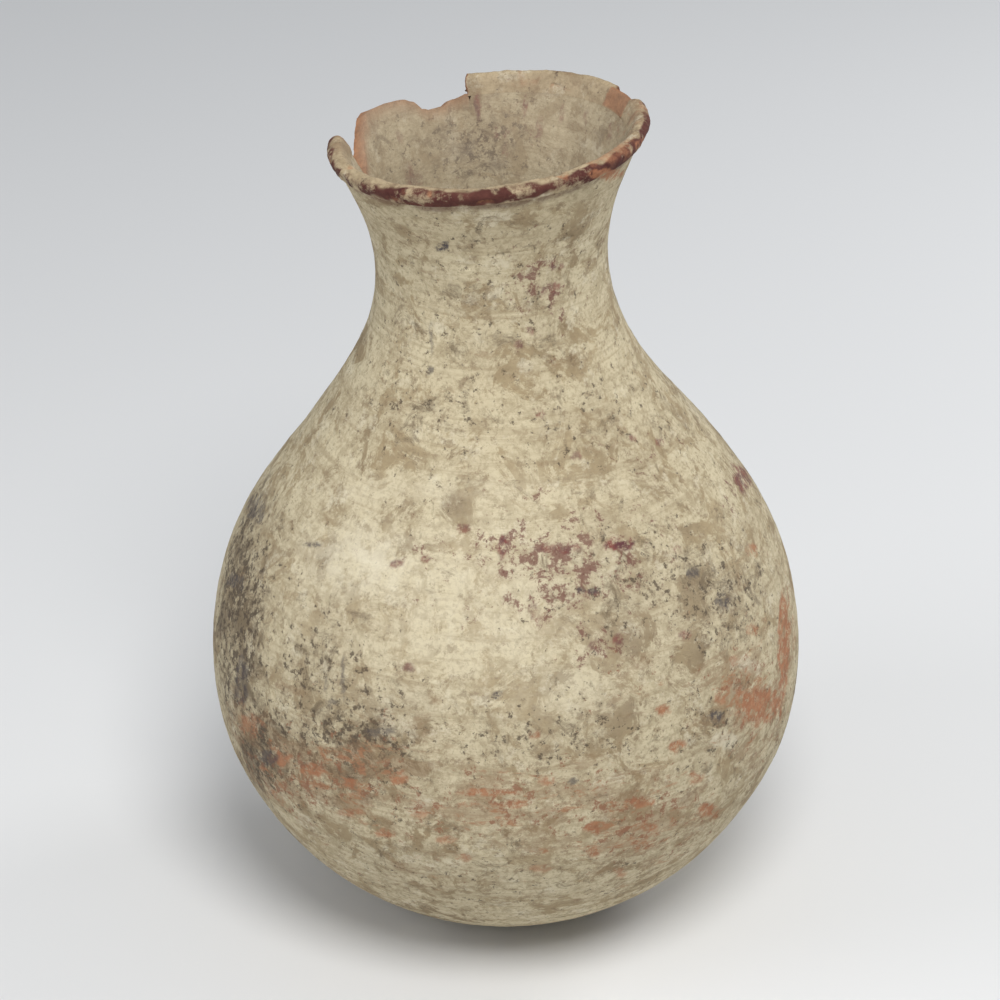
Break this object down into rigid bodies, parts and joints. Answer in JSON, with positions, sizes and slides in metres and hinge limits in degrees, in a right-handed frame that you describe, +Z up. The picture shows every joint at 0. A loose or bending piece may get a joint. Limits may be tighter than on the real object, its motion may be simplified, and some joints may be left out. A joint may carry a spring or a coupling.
{
  "type": "ceramic jar",
  "caption": "Tall-necked ceramic jar with a wide round belly, a narrow leaning neck and a flared mouth with a broken lip strip",
  "frame": {"origin": "centre of the flat resting face under the belly", "axes": "+Z up along the belly's axis, -Y towards the viewer of the picture, +X to the picture's right"},
  "size_m": [0.3054, 0.3054, 0.4333],
  "materials": {
    "slip_clay": "matt weathered cream slip",
    "bare_clay": "matt worn slip over clay",
    "painted_lip": "matt red-brown paint, worn"
  },
  "bodies": {
    "root": {"base_bowl": "slip_clay", "lower_belly": "slip_clay", "mid_belly": "slip_clay", "upper_belly": "slip_clay", "shoulder_cone": "slip_clay", "neck": "slip_clay", "mouth_flare": "bare_clay", "lip_band": "painted_lip"}
  },
  "joints": []
}
